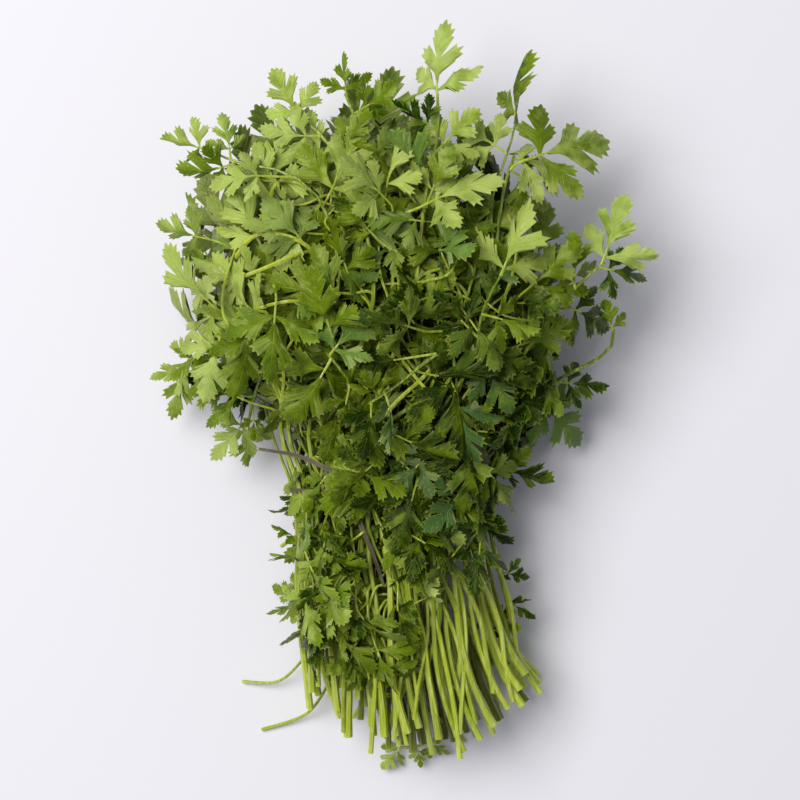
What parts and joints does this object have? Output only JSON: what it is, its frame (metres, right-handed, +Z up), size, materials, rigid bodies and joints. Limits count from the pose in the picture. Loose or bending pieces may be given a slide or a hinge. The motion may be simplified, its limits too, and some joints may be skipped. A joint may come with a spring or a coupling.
{
  "type": "parsley bunch",
  "caption": "Bunch of flat-leaf parsley lying on its side: leafy stems fanned out above a tie of dried reed, with long bare cut ends below it.",
  "frame": {"origin": "on the table under the middle of the bunch, at the centre of its bounding box seen from above", "axes": "+Y from the cut ends to the leaf tips, +X to the right seen from above with the leaf tips pointing away, +Z up from the table"},
  "size_m": [0.1984, 0.2908, 0.0902],
  "materials": {
    "parsley_leaf": "fresh parsley leaf: mid green with a soft waxy sheen, finely veined, paler and duller underneath",
    "parsley_stem": "fresh parsley stalk: pale yellow-green, finely grooved along its length, slightly glossy",
    "dried_reed": "strip of dried reed: dull brown with fine fibres along it"
  },
  "bodies": {
    "root": {"top_stem_01": "parsley_leaf", "top_stem_02": "parsley_leaf", "top_stem_03": "parsley_leaf", "top_stem_04": "parsley_leaf", "top_stem_05": "parsley_leaf", "top_stem_06": "parsley_leaf", "top_stem_07": "parsley_leaf", "top_stem_08": "parsley_leaf", "top_stem_09": "parsley_leaf", "top_stem_10": "parsley_leaf", "top_stem_11": "parsley_leaf", "top_stem_12": "parsley_leaf", "top_stem_13": "parsley_leaf", "top_stem_14": "parsley_leaf", "top_stem_15": "parsley_leaf", "top_stem_16": "parsley_leaf", "low_stem_01": "parsley_stem", "low_stem_02": "parsley_stem", "low_stem_03": "parsley_stem", "low_stem_04": "parsley_stem", "leafy_stem_01": "parsley_leaf", "leafy_stem_02": "parsley_leaf", "leafy_stem_03": "parsley_leaf", "leafy_stem_04": "parsley_leaf", "leafy_stem_05": "parsley_leaf", "leafy_stem_06": "parsley_leaf", "leafy_stem_07": "parsley_leaf", "leafy_stem_08": "parsley_leaf", "leafy_stem_09": "parsley_leaf", "leafy_stem_10": "parsley_leaf", "leafy_stem_11": "parsley_leaf", "leafy_stem_12": "parsley_leaf", "leafy_stem_13": "parsley_leaf", "leafy_stem_14": "parsley_leaf", "leafy_stem_15": "parsley_leaf", "leafy_stem_16": "parsley_leaf", "leafy_stem_17": "parsley_leaf", "leafy_stem_18": "parsley_leaf", "leafy_stem_19": "parsley_leaf", "leafy_stem_20": "parsley_leaf", "leafy_stem_21": "parsley_leaf", "leafy_stem_22": "parsley_leaf", "leafy_stem_23": "parsley_leaf", "leafy_stem_24": "parsley_leaf", "leafy_stem_25": "parsley_leaf", "leafy_stem_26": "parsley_leaf", "leafy_stem_27": "parsley_leaf", "leafy_stem_28": "parsley_leaf", "leafy_stem_29": "parsley_leaf", "leafy_stem_30": "parsley_leaf", "leafy_stem_31": "parsley_leaf", "leafy_stem_32": "parsley_leaf", "leafy_stem_33": "parsley_leaf", "leafy_stem_34": "parsley_leaf", "leafy_stem_35": "parsley_leaf", "leafy_stem_36": "parsley_leaf", "leafy_stem_37": "parsley_leaf", "leafy_stem_38": "parsley_leaf", "reed_tie": "dried_reed"}
  },
  "joints": []
}
